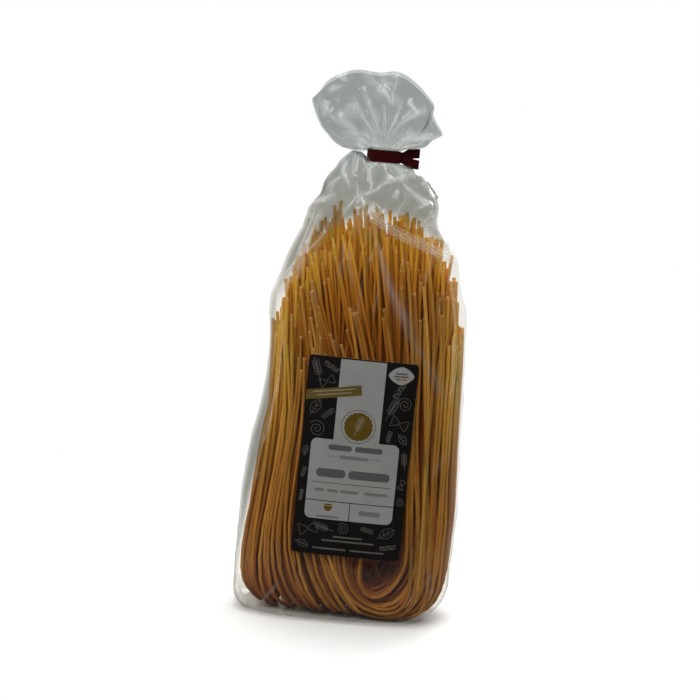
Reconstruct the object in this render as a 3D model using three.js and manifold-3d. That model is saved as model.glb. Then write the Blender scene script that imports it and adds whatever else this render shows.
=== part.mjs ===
// A clear film bag of long dried spaghetti, gathered at the neck by a clip band, with a paper
// label on its front. The noodles were hung over a rod to dry, so each one is a long U whose
// bend lies at the foot of the bag. Millimetres, +Z up, the label faces -Y, and the origin is
// the middle of the foot that the bag stands on.

import * as THREE from 'three';
import { mergeVertices } from 'three/addons/utils/BufferGeometryUtils.js';
import Module from 'manifold-3d';

const wasm = await Module();
wasm.setup();

// ---- Driving dimensions ----

const NOODLE_RADIUS = 0.9;
const NOODLE_SIDES = 5;
const BEND_STEPS = 10;
const CLEARANCE = 0.3;

// The filled bag from its foot to the shoulder: height, reach to the left, reach to the right,
// half depth and squareness of the section (2 is an ellipse, more is boxier).
const BODY = [
  [0, 54.2, 53.6, 24.0, 3.2],
  [14, 55.0, 54.0, 24.6, 3.0],
  [34, 54.9, 54.4, 25.0, 2.8],
  [58, 54.6, 55.0, 24.4, 2.8],
  [84, 52.2, 53.7, 23.8, 2.8],
  [110, 47.7, 52.6, 23.1, 2.7],
  [134, 46.2, 51.6, 22.5, 2.6],
  [158, 47.5, 49.6, 20.6, 2.5],
  [171, 43.6, 45.9, 19.0, 2.4],
  [186, 38.6, 42.2, 16.8, 2.3],
  [202, 30.6, 31.4, 14.2, 2.2],
  [213, 24.4, 28.6, 12.2, 2.1],
  [221, 20.4, 26.2, 10.6, 2.0],
  [226.2, 16.6, 17.3, 8.8, 2.0],
];
const FOOT_ROUND = { left: 7, right: 20, depth: 6 };
const SHOULDER_TOP = { z: 229.2, left: -12, right: 11, halfDepth: 6.8 };

const CLIP_BOTTOM = 229.6;
const CLIP_HEIGHT = 6.1;
const CLIP_WALL = 0.9;
const CLIP_LEFT = -6.1;
const CLIP_WAIST = 10.7;
const CLIP_TIP = 19.9;
const CLIP_DEPTH = 10.8;
const CLIP_CORNER = 3;
const TAIL_THICKNESS = 1.7;
const TAIL_HEIGHT = 10;
const TAIL_SLIT = 3.6;
const TAIL_SLIT_GAPE = 1.1;

const NECK_LEFT = CLIP_LEFT + CLIP_WALL + 2 * CLEARANCE;
const NECK_RIGHT = CLIP_WAIST - CLIP_WALL - 2 * CLEARANCE;
const NECK_HALF_DEPTH = CLIP_DEPTH / 2 - CLIP_WALL - CLEARANCE;
const HEAD_BOTTOM = CLIP_BOTTOM + CLIP_HEIGHT + 0.9;

// The open mouth of the bag above the clip, a fan seen from the front: how far round from the
// left end (-1) to the right end (1), across and height.
const MOUTH = [
  [-1, -34.5, 257.0],
  [-0.75, -26.8, 266.9],
  [-0.5, -15.5, 272.4],
  [-0.2, -3.2, 272.2],
  [0.05, 4.6, 273.2],
  [0.35, 13.2, 269.6],
  [0.65, 22.6, 261.0],
  [0.8, 22.9, 256.0],
  [1, 29.1, 245.9],
];
const MOUTH_HALF_DEPTH = 12.5;
const HEAD_DROOP = { left: 0.75, right: 0.15 };
const HEAD_PLEATS = 10;
const HEAD_PLEAT_HEIGHT = 1.9;
const SHOULDER_PLEATS = 10;
const SHOULDER_PLEAT_HEIGHT = 0.9;

const LABEL = { width: 53.7, height: 98.8, thickness: 0.4, corner: 2, x: 0.8, z: 84.5 };
const LABEL_LEAN = THREE.MathUtils.degToRad(-0.75);

// The gap that the drying rod left inside the bends, which runs through the bag from the front.
const ROD_GAP = { left: 11.5, right: 31.5, bottom: 14.4, side: 30, depth: 4 };

const RING_POINTS = 40;
const HEAD_RINGS = 5;
const FOOT_RINGS = [0, 0.5, 1.7, 3.6, 6.2, 10];

// ---- Shapes of the film ----

/** Smooth value of every column of a profile at one key: cubic, with slopes from the rows around. */
function profileAt(rows, key) {
  const last = rows.length - 1;
  const found = rows.findIndex((row) => row[0] > key);
  const i = THREE.MathUtils.clamp((found < 0 ? last : found) - 1, 0, last - 1);
  const [low, high] = [rows[i], rows[i + 1]];
  const span = high[0] - low[0];
  const t = THREE.MathUtils.clamp((key - low[0]) / span, 0, 1);
  const slope = (j, column) => {
    const [before, after] = [rows[Math.max(j - 1, 0)], rows[Math.min(j + 1, last)]];
    return (after[column] - before[column]) / (after[0] - before[0]);
  };
  return low.map((value, column) => {
    const rise = high[column] - value;
    const start = slope(i, column) * span - rise;
    const end = rise - slope(i + 1, column) * span;
    return value + rise * t + t * (1 - t) * ((1 - t) * start + t * end);
  });
}

/** How far a rounded edge draws in at a distance from the edge's face. */
function roundedIn(distance, radius) {
  const left = Math.max(radius - distance, 0);
  return radius - Math.sqrt(radius * radius - left * left);
}

/** The bag's section at a height, with the rounding of its foot. */
function sectionAt(z) {
  const [, left, right, depth, square] = profileAt(BODY, z);
  const west = -left + roundedIn(z, FOOT_ROUND.left);
  const east = right - roundedIn(z, FOOT_ROUND.right);
  return {
    x: (west + east) / 2,
    halfWidth: (east - west) / 2,
    halfDepth: depth - roundedIn(z, FOOT_ROUND.depth),
    square,
  };
}

/** A point round a section: angle 0 is the right side, a quarter turn is the front. */
function roundSection(section, angle, lift) {
  const power = 2 / section.square;
  const [c, s] = [Math.cos(angle), Math.sin(angle)];
  const across = Math.sign(c) * Math.abs(c) ** power;
  const towards = Math.sign(s) * Math.abs(s) ** power;
  const normal = new THREE.Vector2(
    (Math.sign(c) * Math.abs(c) ** (2 - power)) / section.halfWidth,
    (Math.sign(s) * Math.abs(s) ** (2 - power)) / section.halfDepth,
  ).normalize();
  return [
    section.x + across * section.halfWidth + normal.x * lift,
    -(towards * section.halfDepth + normal.y * lift),
  ];
}

/** A point of the film of the filled bag, raised along its normal. */
function filmPoint(angle, z, lift) {
  const [x, y] = roundSection(sectionAt(z), angle, lift);
  return new THREE.Vector3(x, y, z);
}

/** The angle at which the film passes a place across the bag, on its front or its back. */
function angleAt(x, z, front) {
  const section = sectionAt(z);
  const across = THREE.MathUtils.clamp((x - section.x) / section.halfWidth, -0.98, 0.98);
  const angle = Math.acos(Math.sign(across) * Math.abs(across) ** (section.square / 2));
  return front ? angle : -angle;
}

const ringAngles = Array.from({ length: RING_POINTS }, (_, i) => (2 * Math.PI * i) / RING_POINTS);
const ringHeights = [...FOOT_RINGS, ...BODY.slice(1).map((row) => row[0])];

/** Rings of the filled bag. The noodles stand out of the core by half their thickness. */
function bodyRings() {
  return ringHeights.map((z) => {
    const bare = THREE.MathUtils.smoothstep(z, 190, 212);
    const gathered = THREE.MathUtils.smoothstep(z, 196, ringHeights.at(-1));
    return ringAngles.map((angle) => {
      const pleat = SHOULDER_PLEAT_HEIGHT * gathered * Math.cos(SHOULDER_PLEATS * angle);
      return filmPoint(angle, z, pleat - NOODLE_RADIUS * (1 - bare));
    });
  });
}

/** A plain oval ring of the gathered neck. */
function neckRing(z, left, right, halfDepth) {
  const section = { x: (left + right) / 2, halfWidth: (right - left) / 2, halfDepth, square: 2.3 };
  return ringAngles.map((angle) => {
    const [x, y] = roundSection(section, angle, 0);
    return new THREE.Vector3(x, y, z);
  });
}

/** Rings of the head: every pleat leaves the neck on a curved ray and ends on the mouth. */
function headRings() {
  const rings = [];
  for (let step = 1; step <= HEAD_RINGS; step += 1) {
    const t = step / HEAD_RINGS;
    rings.push(ringAngles.map((angle) => {
      const round = Math.cos(angle);
      const [, mouthX, mouthZ] = profileAt(MOUTH, round);
      const rootX = THREE.MathUtils.lerp(NECK_LEFT, NECK_RIGHT, (1 + round) / 2);
      const bowX = rootX + 0.75 * (mouthX - rootX);
      const droop = (round < 0 ? HEAD_DROOP.left : HEAD_DROOP.right) * round * round;
      const bowZ = HEAD_BOTTOM + (0.5 - droop) * (mouthZ - HEAD_BOTTOM);
      const root = (1 - t) * (1 - t);
      const bow = 2 * t * (1 - t);
      const end = t * t;
      const spread = THREE.MathUtils.lerp(NECK_HALF_DEPTH, MOUTH_HALF_DEPTH, Math.sin((t * Math.PI) / 2));
      const pleat = HEAD_PLEAT_HEIGHT * t * Math.cos(HEAD_PLEATS * angle);
      return new THREE.Vector3(
        root * rootX + bow * bowX + end * mouthX,
        -Math.sin(angle) * (spread + pleat),
        root * HEAD_BOTTOM + bow * bowZ + end * mouthZ,
      );
    }));
  }
  return rings;
}

/** A closed skin over rings of equal length, with a flat foot and a ridge that shuts the last ring. */
function skinOver(rings) {
  const positions = rings.flat().flatMap((point) => point.toArray());
  const faces = [];
  const n = RING_POINTS;
  for (let r = 0; r + 1 < rings.length; r += 1) {
    for (let i = 0; i < n; i += 1) {
      const [a, b] = [r * n + i, r * n + ((i + 1) % n)];
      faces.push(a, a + n, b, b, a + n, b + n);
    }
  }
  const foot = 0;
  const roof = (rings.length - 1) * n;
  for (let i = 0; i < n / 2; i += 1) {
    const [front, nextFront] = [i, i + 1];
    const [back, nextBack] = [(n - i) % n, n - i - 1];
    if (front !== back) {
      faces.push(foot + front, foot + nextFront, foot + back);
      faces.push(roof + front, roof + back, roof + nextFront);
    }
    if (nextFront !== nextBack) {
      faces.push(foot + nextFront, foot + nextBack, foot + back);
      faces.push(roof + nextFront, roof + back, roof + nextBack);
    }
  }
  const geometry = new THREE.BufferGeometry();
  geometry.setAttribute('position', new THREE.Float32BufferAttribute(positions, 3));
  geometry.setIndex(faces);
  return geometry;
}

// ---- Noodles ----

let seed = 20;
/** A repeatable random number from 0 to 1. */
function random() {
  seed = (seed * 16807) % 2147483647;
  return seed / 2147483647;
}

/** Height that the noodles reach at a place across the bag. */
function noodleTop(x) {
  return 205 - 0.02 * x * x;
}

/** A curve that is cut into steps where its points lie, so that its bends get the most. */
class PacedCurve extends THREE.CatmullRomCurve3 {
  getUtoTmapping(share) {
    return share;
  }
}

/** A noodle tube through points, with few sides. */
function noodle(points) {
  const section = new THREE.Shape();
  for (let i = 0; i < NOODLE_SIDES; i += 1) {
    const angle = (2 * Math.PI * i) / NOODLE_SIDES;
    const [x, y] = [NOODLE_RADIUS * Math.cos(angle), NOODLE_RADIUS * Math.sin(angle)];
    if (i === 0) section.moveTo(x, y);
    else section.lineTo(x, y);
  }
  const path = new PacedCurve(points);
  return new THREE.ExtrudeGeometry(section, { steps: points.length - 1, extrudePath: path });
}

/** Two heights and the bag's own rings between them, from the upper one down. */
function heightsBetween(top, bottom) {
  const between = ringHeights.filter((z) => z > bottom + NOODLE_RADIUS && z < top - NOODLE_RADIUS);
  return [top, ...between.reverse(), bottom];
}

/** A leg that comes down one face and sweeps to the right as it turns under the foot. */
function legPoints(footX, front) {
  const lean = 0.03 + 0.09 * random();
  const short = 34 * random();
  const sweep = 13 + 5 * random();
  const top = Math.min(noodleTop(footX) - short, 188 - 0.55 * Math.abs(footX));
  return heightsBetween(top, NOODLE_RADIUS + CLEARANCE).map((z) => {
    const low = Math.max(1 - z / 52, 0);
    const x = footX - lean * (z - 60) + sweep * low * low;
    return filmPoint(angleAt(x, z, front), z, -NOODLE_RADIUS);
  });
}

/** The upper end of a leg that shows over the label and runs on behind it. */
function crownPoints(topX) {
  const lean = 0.02 + 0.14 * random();
  const top = Math.min(noodleTop(topX) - 10 * random(), 204 - 0.7 * Math.abs(topX));
  return heightsBetween(top, LABEL.z + LABEL.height * 0.4).map((z) => {
    return filmPoint(angleAt(topX + lean * (top - z), z, true), z, -NOODLE_RADIUS);
  });
}

/** A whole U round the rod gap: nest 0 lies on the gap, nest 1 outermost. */
function bendPoints(nest, front) {
  const left = THREE.MathUtils.lerp(ROD_GAP.left, -20, nest) - NOODLE_RADIUS;
  const right = THREE.MathUtils.lerp(ROD_GAP.right, 49, nest) + NOODLE_RADIUS;
  const bottom = THREE.MathUtils.lerp(ROD_GAP.bottom - NOODLE_RADIUS, NOODLE_RADIUS + CLEARANCE, nest);
  const side = THREE.MathUtils.lerp(ROD_GAP.side, 52, nest);
  const middle = THREE.MathUtils.lerp(20, 24, nest);
  const leftTop = 150 + 40 * random();
  const rightTop = 140 + 25 * random();
  const route = heightsBetween(leftTop, side).slice(0, -1).map((z) => [left - 0.05 * (z - side), z]);
  for (let i = 0; i <= BEND_STEPS; i += 1) {
    const turn = Math.PI * (1 + i / BEND_STEPS);
    const reach = i < BEND_STEPS / 2 ? middle - left : right - middle;
    route.push([middle + reach * Math.cos(turn), side + (side - bottom) * Math.sin(turn)]);
  }
  route.push(...heightsBetween(rightTop, side).slice(0, -1).reverse().map((z) => [right, z]));
  return route.map(([x, z]) => filmPoint(angleAt(x, z, front), z, -NOODLE_RADIUS));
}

/** A straight leg on one of the narrow sides. */
function sidePoints(angle) {
  const top = 130 + 22 * random();
  return heightsBetween(top, FOOT_ROUND.right / 2).map((z) => filmPoint(angle, z, -NOODLE_RADIUS));
}

function noodlePaths() {
  const paths = [];
  for (const nest of [0, 0.24, 0.5, 0.78]) paths.push(bendPoints(nest, true));
  for (const nest of [0.02, 0.4, 0.8]) paths.push(bendPoints(nest, false));
  for (let i = 0; i < 9; i += 1) paths.push(legPoints(-46 + 5.2 * i, true));
  for (let i = 0; i < 6; i += 1) paths.push(legPoints(-45 + 7.2 * i, false));
  for (let i = 0; i < 6; i += 1) paths.push(crownPoints(-22 + 9.5 * i));
  for (const angle of [0.93, 1, 1.07]) paths.push(sidePoints(angle * Math.PI));
  for (const angle of [-0.06, 0.04]) paths.push(sidePoints(angle * Math.PI));
  return paths;
}

// ---- Joining ----

/** A closed geometry as a solid that can be joined and cut. */
function solidOf(geometry) {
  const bare = geometry.clone();
  bare.deleteAttribute('normal');
  bare.deleteAttribute('uv');
  const merged = mergeVertices(bare, 1e-4);
  return new wasm.Manifold(new wasm.Mesh({
    numProp: 3,
    vertProperties: merged.attributes.position.array,
    triVerts: new Uint32Array(merged.index.array),
  }));
}

/** The geometry of a joined solid. */
function geometryOf(solid) {
  const { vertProperties, triVerts } = solid.getMesh();
  const geometry = new THREE.BufferGeometry();
  geometry.setAttribute('position', new THREE.BufferAttribute(vertProperties, 3));
  geometry.setIndex(new THREE.BufferAttribute(triVerts, 1));
  geometry.computeVertexNormals();
  return geometry;
}

// ---- The three pieces ----

/** The filled bag: film, gathered neck and open head, with the noodles that show pressed through. */
function bagGeometry() {
  const ledge = neckRing(SHOULDER_TOP.z, SHOULDER_TOP.left, SHOULDER_TOP.right, SHOULDER_TOP.halfDepth);
  const neck = [SHOULDER_TOP.z + CLEARANCE / 3, HEAD_BOTTOM]
    .map((z) => neckRing(z, NECK_LEFT, NECK_RIGHT, NECK_HALF_DEPTH));
  let bag = solidOf(skinOver([...bodyRings(), ledge, ...neck, ...headRings()]));
  const gapX = (ROD_GAP.left + ROD_GAP.right) / 2;
  const gapZ = ROD_GAP.bottom + (ROD_GAP.right - ROD_GAP.left) / 2;
  for (const front of [true, false]) {
    const gap = new THREE.SphereGeometry(1, 16, 10);
    gap.scale((ROD_GAP.right - ROD_GAP.left) / 2, ROD_GAP.depth, gapZ - ROD_GAP.bottom);
    const middle = filmPoint(angleAt(gapX, gapZ, front), gapZ, -NOODLE_RADIUS);
    gap.translate(middle.x, middle.y, middle.z);
    bag = bag.subtract(solidOf(gap));
  }
  for (const points of noodlePaths()) bag = bag.add(solidOf(noodle(points)));
  return geometryOf(bag);
}

/** The plan of the band round the neck, from its left fold to the waist where its plies meet. */
function bandPlan(inset) {
  const left = CLIP_LEFT + inset;
  const right = CLIP_WAIST - inset;
  const half = CLIP_DEPTH / 2 - inset;
  const corner = CLIP_CORNER - inset;
  const plan = new THREE.Shape();
  plan.moveTo(left + corner, -half);
  plan.lineTo(right - corner, -half);
  plan.quadraticCurveTo(right, -half, right, 0);
  plan.quadraticCurveTo(right, half, right - corner, half);
  plan.lineTo(left + corner, half);
  plan.absarc(left + corner, half - corner, corner, Math.PI / 2, Math.PI, false);
  plan.absarc(left + corner, corner - half, corner, Math.PI, 1.5 * Math.PI, false);
  return plan;
}

/** The clip: a band looped round the neck, its two plies pressed together into flared tails. */
function clipGeometry() {
  const plan = bandPlan(0);
  plan.holes.push(bandPlan(CLIP_WALL));
  const band = new THREE.ExtrudeGeometry(plan, { depth: CLIP_HEIGHT, bevelEnabled: false, curveSegments: 6 });
  band.translate(0, 0, CLIP_BOTTOM);
  const [half, flare, gape] = [CLIP_HEIGHT / 2 - 0.5, TAIL_HEIGHT / 2, TAIL_SLIT_GAPE / 2];
  const start = CLIP_WAIST - CLIP_WALL / 2;
  const spread = CLIP_WAIST + 4;
  const tail = new THREE.Shape();
  tail.moveTo(start, -half);
  tail.bezierCurveTo(CLIP_WAIST + 2, -half, spread - 1.5, -flare, spread + 1, -flare);
  tail.lineTo(CLIP_TIP, -flare);
  tail.lineTo(CLIP_TIP, -gape);
  tail.lineTo(CLIP_TIP - TAIL_SLIT, 0);
  tail.lineTo(CLIP_TIP, gape);
  tail.lineTo(CLIP_TIP, flare);
  tail.lineTo(spread + 1, flare);
  tail.bezierCurveTo(spread - 1.5, flare, CLIP_WAIST + 2, half, start, half);
  const plies = new THREE.ExtrudeGeometry(tail, { depth: TAIL_THICKNESS, bevelEnabled: false, curveSegments: 8 });
  plies.rotateX(Math.PI / 2);
  plies.translate(0, TAIL_THICKNESS / 2, CLIP_BOTTOM + CLIP_HEIGHT / 2);
  return geometryOf(solidOf(band).add(solidOf(plies)));
}

/** The paper label: a thin plate with round corners that follows the front of the bag. */
function labelGeometry() {
  const { width, height, corner, thickness } = LABEL;
  const columns = 8;
  const edge = [0, 0.06, 0.3, 0.62, 1].map((part) => part * corner);
  const rows = [...edge];
  for (let i = 1; i < 8; i += 1) rows.push(corner + ((height - 2 * corner) * i) / 8);
  rows.push(...edge.map((part) => height - part).reverse());
  const [positions, faces] = [[], []];
  for (const lift of [CLEARANCE, CLEARANCE + thickness]) {
    for (const row of rows) {
      const half = width / 2 - roundedIn(Math.min(row, height - row), corner);
      for (let i = 0; i <= columns; i += 1) {
        const flat = new THREE.Vector2(half * ((2 * i) / columns - 1), row - height / 2);
        flat.rotateAround(new THREE.Vector2(), LABEL_LEAN);
        const [x, z] = [LABEL.x + flat.x, LABEL.z + flat.y];
        positions.push(...filmPoint(angleAt(x, z, true), z, lift).toArray());
      }
    }
  }
  const across = columns + 1;
  const sheet = across * rows.length;
  const quad = (a, b, c, d) => faces.push(a, b, c, a, c, d);
  for (let r = 0; r + 1 < rows.length; r += 1) {
    for (let i = 0; i < columns; i += 1) {
      const a = r * across + i;
      quad(a, a + across, a + across + 1, a + 1);
      quad(sheet + a, sheet + a + 1, sheet + a + across + 1, sheet + a + across);
    }
    const [left, right] = [r * across, r * across + columns];
    quad(left, sheet + left, sheet + left + across, left + across);
    quad(right, right + across, sheet + right + across, sheet + right);
  }
  const top = across * (rows.length - 1);
  for (let i = 0; i < columns; i += 1) {
    quad(i, i + 1, sheet + i + 1, sheet + i);
    quad(top + i, sheet + top + i, sheet + top + i + 1, top + i + 1);
  }
  const geometry = new THREE.BufferGeometry();
  geometry.setAttribute('position', new THREE.Float32BufferAttribute(positions, 3));
  geometry.setIndex(faces);
  geometry.computeVertexNormals();
  return geometry;
}

function piece(name, geometry, color, roughness) {
  const mesh = new THREE.Mesh(geometry, new THREE.MeshStandardMaterial({ color, roughness, metalness: 0 }));
  mesh.name = name;
  return mesh;
}

const spaghettiBag = new THREE.Group();
spaghettiBag.add(piece('bag', bagGeometry(), 0xc08a34, 0.45));
spaghettiBag.add(piece('clip', clipGeometry(), 0x4a1214, 0.4));
spaghettiBag.add(piece('label', labelGeometry(), 0x24201e, 0.6));

export default spaghettiBag;
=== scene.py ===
"""A clear film bag of long dried egg spaghetti, closed by a clip band, with a printed paper label.

The bag stands on its foot, label towards -Y. Shapes are worked out in millimetres and turned to
metres when a mesh is made. The driving dimensions are the solid model's, but for the right
shoulder, where the film is drawn further in.
"""

import math

import bpy
import numpy as np
from mathutils import Matrix, Vector
from mathutils.geometry import delaunay_2d_cdt


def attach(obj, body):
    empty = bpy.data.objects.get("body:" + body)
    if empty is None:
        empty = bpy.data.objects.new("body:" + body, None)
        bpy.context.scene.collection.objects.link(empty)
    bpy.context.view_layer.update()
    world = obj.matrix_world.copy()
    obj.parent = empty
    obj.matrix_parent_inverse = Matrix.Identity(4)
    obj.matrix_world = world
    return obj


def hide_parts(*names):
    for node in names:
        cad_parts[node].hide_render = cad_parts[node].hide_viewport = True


MM = 0.001
BODY = "root"

# ---- Driving dimensions, in millimetres ----

# The film of the filled bag: height, reach to the left, reach to the right, half depth and
# squareness of the section (2 is an ellipse, more is boxier).
FILM_ROWS = np.array([
    [0, 54.2, 53.6, 24.0, 3.2],
    [14, 55.0, 54.0, 24.6, 3.0],
    [34, 54.9, 54.4, 25.0, 2.8],
    [58, 54.6, 55.0, 24.4, 2.8],
    [84, 52.2, 53.7, 23.8, 2.8],
    [110, 47.7, 52.6, 23.1, 2.7],
    [134, 46.2, 51.6, 22.5, 2.6],
    [158, 47.5, 49.6, 20.6, 2.5],
    [171, 43.6, 45.9, 19.0, 2.4],
    [186, 38.6, 42.2, 16.8, 2.3],
    [202, 30.6, 29.8, 14.2, 2.2],
    [213, 24.4, 26.8, 12.2, 2.1],
    [221, 20.4, 24.4, 10.6, 2.0],
    [226.2, 16.6, 16.5, 8.8, 2.0],
    [228.4, 13.8, 12.4, 7.4, 2.0],
    [229.2, 9.5, 10.4, 5.8, 2.1],
])
FOOT_ROUND = {"left": 7, "right": 20, "depth": 6}
FILM_FOOT = 0.15

NECK_LEFT, NECK_RIGHT, NECK_HALF_DEPTH = -4.9, 9.5, 4.2
NECK_BOTTOM, HEAD_BOTTOM = 229.5, 236.6

# The open mouth above the clip: how far round from the left end (-1) to the right end (1), across, height.
MOUTH = np.array([
    [-1, -34.5, 257.0],
    [-0.75, -26.8, 266.9],
    [-0.5, -15.5, 272.4],
    [-0.2, -3.2, 272.2],
    [0.05, 4.6, 273.2],
    [0.35, 13.2, 269.6],
    [0.65, 22.6, 261.0],
    [0.8, 22.9, 256.0],
    [1, 29.1, 245.9],
])
MOUTH_HALF_DEPTH = 12.5
HEAD_DROOP = {"left": 0.75, "right": 0.15}
HEAD_RISE = 38

LABEL = {"width": 53.7, "height": 98.8, "corner": 2, "x": 0.8, "z": 84.5}
LABEL_LEAN = math.radians(-0.75)

NOODLE_RADIUS = 0.9
NOODLE_SIDES = 7
NOODLE_PITCH = 2.05

# How far the middles of the outermost noodles reach: height, left, right, half depth.
NEST_ROWS = np.array([
    [1.2, -44.5, 31, 15.5],
    [5, -49.5, 42, 19.5],
    [12, -52.8, 49, 21.8],
    [27, -53, 52.2, 23],
    [45, -51.5, 53, 23.2],
    [60, -49.8, 53.2, 22.8],
    [83, -45.9, 52, 22.3],
    [106, -43.2, 50.2, 21.7],
    [130, -43.4, 48.2, 21],
    [153, -45, 49, 19.4],
    [190, -45, 49, 15.6],
    [210, -45, 49, 12.4],
])
# Heights by which the noodles are placed: above their bends, at the waist and near the tips.
LOW, MIDDLE, HIGH = 45, 110, 200


# ---- Small mathematics ----

def lerp(a, b, t):
    return a + (b - a) * t


def smoothstep(x, low, high):
    t = np.clip((x - low) / (high - low), 0, 1)
    return t * t * (3 - 2 * t)


def unit(vectors):
    return vectors / np.maximum(np.linalg.norm(vectors, axis=-1, keepdims=True), 1e-9)


def signed_power(value, power):
    return np.sign(value) * np.abs(value) ** power


def profile_at(rows, key):
    """Every column of a profile at the given keys: cubic, with slopes from the rows around."""
    key = np.asarray(key, float)
    last = len(rows) - 1
    i = np.clip(np.searchsorted(rows[:, 0], key, side="right") - 1, 0, last - 1)
    low, high = rows[i], rows[i + 1]
    span = high[..., :1] - low[..., :1]
    t = np.clip((key[..., None] - low[..., :1]) / span, 0, 1)

    def slope(j):
        before, after = rows[np.maximum(j - 1, 0)], rows[np.minimum(j + 1, last)]
        return (after - before) / (after[..., :1] - before[..., :1])

    rise = high - low
    start, end = slope(i) * span - rise, rise - slope(i + 1) * span
    return np.moveaxis(low + rise * t + t * (1 - t) * ((1 - t) * start + t * end), -1, 0)[1:]


def rounded_in(distance, radius):
    """How far a rounded edge draws in at a distance from the edge's face."""
    left = np.maximum(radius - distance, 0)
    return radius - np.sqrt(radius * radius - left * left)


# ---- The form of the film ----

def section_at(z):
    """The bag's section at a height: middle, half width, half depth and squareness."""
    left, right, depth, square = profile_at(FILM_ROWS, z)
    west = -left + rounded_in(z, FOOT_ROUND["left"])
    east = right - rounded_in(z, FOOT_ROUND["right"])
    return (west + east) / 2, (east - west) / 2, depth - rounded_in(z, FOOT_ROUND["depth"]), square


def film_point(angle, z, lift):
    """A point of the filled bag's film, raised along its normal. A quarter turn is the front."""
    middle, half_width, half_depth, square = section_at(z)
    power = 2 / square
    c, s = np.cos(angle), np.sin(angle)
    nx = signed_power(c, 2 - power) / half_width
    ny = signed_power(s, 2 - power) / half_depth
    size = np.hypot(nx, ny)
    x = middle + signed_power(c, power) * half_width + nx / size * lift
    y = -(signed_power(s, power) * half_depth + ny / size * lift)
    return np.stack(np.broadcast_arrays(x, y, z), -1)


def angle_at(x, z):
    """The angle at which the film passes a place across the bag, on its front."""
    middle, half_width, _, square = section_at(z)
    across = np.clip((x - middle) / half_width, -0.98, 0.98)
    return np.arccos(signed_power(across, square / 2))


def inside_film(points, margin):
    """The points, with those outside the film less a margin drawn back onto it."""
    middle, half_width, half_depth, square = section_at(points[:, 2])
    across = (points[:, 0] - middle) / (half_width - margin)
    deep = points[:, 1] / (half_depth - margin)
    reach = np.maximum((np.abs(across) ** square + np.abs(deep) ** square) ** (1 / square), 1)
    kept = points.copy()
    kept[:, 0] = middle + (points[:, 0] - middle) / reach
    kept[:, 1] = points[:, 1] / reach
    return kept


# ---- Meshes and materials ----

def new_object(name, data):
    thing = bpy.data.objects.new(name, data)
    bpy.context.scene.collection.objects.link(thing)
    return thing


def tube_faces(grid):
    """Faces between the rows of a grid of point numbers, which closes on itself round each row."""
    a, b = grid[..., :-1, :], grid[..., 1:, :]
    return np.stack([a, np.roll(a, -1, -1), np.roll(b, -1, -1), b], -1).reshape(-1, 4)


def mesh_piece(name, vertices, faces, materials, stands_for, smooth=True):
    """A mesh object made of millimetre points, which rides on the bag's one body."""
    mesh = bpy.data.meshes.new(name)
    mesh.from_pydata((np.asarray(vertices) * MM).tolist(), [], faces)
    mesh.polygons.foreach_set("use_smooth", np.full(len(mesh.polygons), smooth))
    for each in materials:
        mesh.materials.append(each)
    mesh.validate()
    piece = new_object(name, mesh)
    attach(piece, BODY)
    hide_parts(stands_for)
    return piece


def set_attribute(piece, name, values):
    attribute = piece.data.attributes.new(name, "FLOAT", "POINT")
    attribute.data.foreach_set("value", np.asarray(values, np.float32))


def linear(code):
    """An sRGB hex colour as linear RGBA."""
    parts = [int(code[i:i + 2], 16) / 255 for i in (1, 3, 5)]
    return [p / 12.92 if p <= 0.04045 else ((p + 0.055) / 1.055) ** 2.4 for p in parts] + [1]


# The sockets of a mix of colours that take its two colours.
COLOUR_A, COLOUR_B = 6, 7


def add(tree, kind, sockets=None, **settings):
    """Adds a shader node with its settings.

    A socket is given a value, or another node's output to link. A node stands for the first output
    that it has in use.
    """
    node = tree.nodes.new("ShaderNode" + kind)
    for name, value in settings.items():
        setattr(node, name, value)
    for name, value in (sockets or {}).items():
        if isinstance(value, bpy.types.Node):
            value = next(output for output in value.outputs if output.enabled)
        if isinstance(value, bpy.types.NodeSocket):
            tree.links.new(value, node.inputs[name])
        else:
            node.inputs[name].default_value = value
    return node


def new_material(name):
    """An empty material and its node tree."""
    material = bpy.data.materials.new(name)
    material.use_nodes = True
    material.node_tree.nodes.clear()
    return material, material.node_tree


def millimetres(tree):
    """The place on the object in millimetres, the same in every view."""
    place = add(tree, "TexCoord").outputs["Object"]
    return add(tree, "VectorMath", {0: place, "Scale": 1 / MM}, operation="SCALE")


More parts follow.
